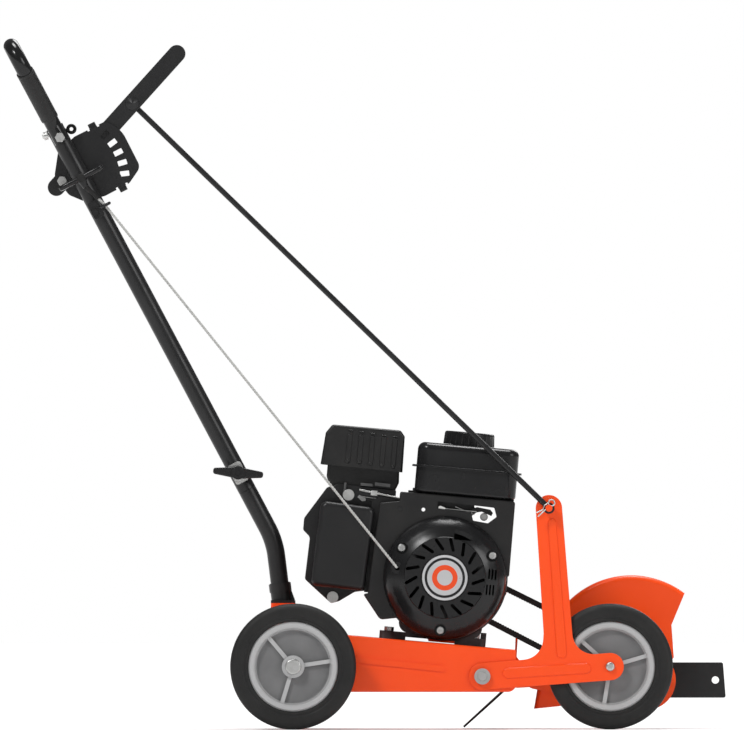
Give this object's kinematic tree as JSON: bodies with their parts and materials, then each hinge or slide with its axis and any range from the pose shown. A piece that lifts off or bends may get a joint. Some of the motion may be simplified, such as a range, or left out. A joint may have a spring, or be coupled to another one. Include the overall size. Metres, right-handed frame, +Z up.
{
  "type": "walk-behind lawn edger",
  "caption": "Walk-behind petrol lawn edger: sloped steel deck on wheels, belt-driven flat blade under a fender, tubular handle with a depth lever.",
  "frame": {"origin": "middle of the footprint on the ground", "axes": "+X forward, the way it is pushed; +Y to the left of the machine; +Z up"},
  "size_m": [1.024, 0.392, 0.977],
  "materials": {
    "orange_paint": "gloss powder coat",
    "black_paint": "satin powder coat",
    "zinc_steel": "bright zinc plate",
    "pulley_steel": "turned steel",
    "cast_alloy": "as cast",
    "black_plastic": "fine moulded grain",
    "black_sheet": "heat-proof satin black",
    "wheel_plastic": "grey moulded plastic",
    "tyre_rubber": "smooth matt rubber",
    "belt_rubber": "dull rubber",
    "grip_vinyl": "soft vinyl",
    "rope_braid": "grey braided cord"
  },
  "bodies": {
    "frame": {"air_cleaner_base": "black_plastic", "air_cleaner_cover": "black_plastic", "axle_fittings": "zinc_steel", "ball_bearings": "zinc_steel", "bearing_housing": "pulley_steel", "belt_guard": "orange_paint", "blade_guard": "orange_paint", "blower_shroud": "black_sheet", "carburettor": "cast_alloy", "cover_screws": "zinc_steel", "crankcase": "cast_alloy", "cylinder_block": "cast_alloy", "cylinder_head": "cast_alloy", "debris_flap": "belt_rubber", "depth_quadrant": "black_paint", "drive_belt": "belt_rubber", "engine_bolts": "zinc_steel", "eye_bolt": "zinc_steel", "frame_bolts": "zinc_steel", "frame_deck": "orange_paint", "fuel_tank_lower": "black_plastic", "fuel_tank_upper": "black_plastic", "governor_linkage": "zinc_steel", "handle_loop": "black_paint", "handle_socket": "black_paint", "knob_bolt": "zinc_steel", "lever_keeper": "black_paint", "loop_grips": "grip_vinyl", "lower_handle_tube": "black_paint", "muffler_body": "black_sheet", "muffler_guard": "black_sheet", "rear_axle": "zinc_steel", "recoil_housing": "black_plastic", "rope_guide": "black_paint", "spark_plug": "belt_rubber", "spindle_carrier": "orange_paint", "starter_rope": "rope_braid", "tank_bracket": "black_paint", "upper_handle_tube": "black_paint"},
    "wheel_arm": {"wheel_arm": "orange_paint", "front_axle_bolt": "zinc_steel", "rod_clip": "zinc_steel"},
    "front_wheel": {"front_tyre": "tyre_rubber", "front_rim": "wheel_plastic"},
    "rear_wheel_left": {"rear_tyre_left": "tyre_rubber", "rear_rim_left": "wheel_plastic"},
    "rear_wheel_right": {"rear_tyre_right": "tyre_rubber", "rear_rim_right": "wheel_plastic"},
    "depth_rod": {"depth_rod": "black_paint"},
    "depth_lever": {"depth_lever": "black_paint"},
    "engine_rotor": {"crankshaft": "zinc_steel", "flywheel": "pulley_steel", "drive_pulley": "pulley_steel"},
    "spindle": {"spindle_shaft": "zinc_steel", "spindle_pulley": "pulley_steel", "blade": "black_paint", "blade_nut": "zinc_steel"},
    "fuel_cap": {"fuel_cap": "black_plastic"},
    "knob": {"handle_knob": "black_plastic"},
    "starter_grip": {"starter_grip": "black_plastic"}
  },
  "joints": [
    {"name": "wheel_arm_pivot", "type": "hinge", "parent": "frame", "child": "wheel_arm", "pos_m": [0.1645, -0.1225, 0.075], "axis": [0, 1, 0], "range_deg": [0, 22]},
    {"name": "front_wheel_spin", "type": "hinge", "parent": "wheel_arm", "child": "front_wheel", "pos_m": [0.345, -0.099, 0.0889], "axis": [0, 1, 0], "continuous": true},
    {"name": "rear_wheel_left_spin", "type": "hinge", "parent": "frame", "child": "rear_wheel_left", "pos_m": [-0.1025, 0.171, 0.0889], "axis": [0, 1, 0], "continuous": true},
    {"name": "rear_wheel_right_spin", "type": "hinge", "parent": "frame", "child": "rear_wheel_right", "pos_m": [-0.1025, -0.171, 0.0889], "axis": [0, 1, 0], "continuous": true},
    {"name": "depth_rod_swing", "type": "hinge", "parent": "wheel_arm", "child": "depth_rod", "pos_m": [0.2585, -0.134, 0.3125], "axis": [0, 1, 0], "range_deg": [-25.8, 0.5]},
    {"name": "depth_lever_pivot", "type": "hinge", "parent": "frame", "child": "depth_lever", "pos_m": [-0.4305, 0.0185, 0.7765], "axis": [0, 1, 0], "range_deg": [-0.5, 39]},
    {"name": "engine_spin", "type": "hinge", "parent": "frame", "child": "engine_rotor", "pos_m": [0.1115, 0, 0.2143], "axis": [0, 1, 0], "continuous": true},
    {"name": "blade_spin", "type": "hinge", "parent": "frame", "child": "spindle", "pos_m": [0.3975, 0.13, 0.069], "axis": [0, 1, 0], "continuous": true},
    {"name": "fuel_cap_turn", "type": "hinge", "parent": "frame", "child": "fuel_cap", "pos_m": [0.14622, -0.026, 0.40801], "axis": [0.0872, 0, 0.9962], "range_deg": [0, 120]},
    {"name": "knob_turn", "type": "hinge", "parent": "frame", "child": "knob", "pos_m": [-0.18074, -0.025, 0.3628], "axis": [0, 1, 0], "continuous": true},
    {"name": "starter_pull", "type": "slide", "parent": "frame", "child": "starter_grip", "axis": [-0.9563, 0, 0.2923], "range_m": [0, 0.45], "stiffness_N_per_m": 2, "springref_m": -1}
  ],
  "couplings": [
    {"joint": "depth_rod_swing", "follows": "wheel_arm_pivot", "ratio": -1.15},
    {"joint": "depth_lever_pivot", "follows": "wheel_arm_pivot", "ratio": 1.75},
    {"joint": "blade_spin", "follows": "engine_spin", "ratio": 0.89286}
  ]
}
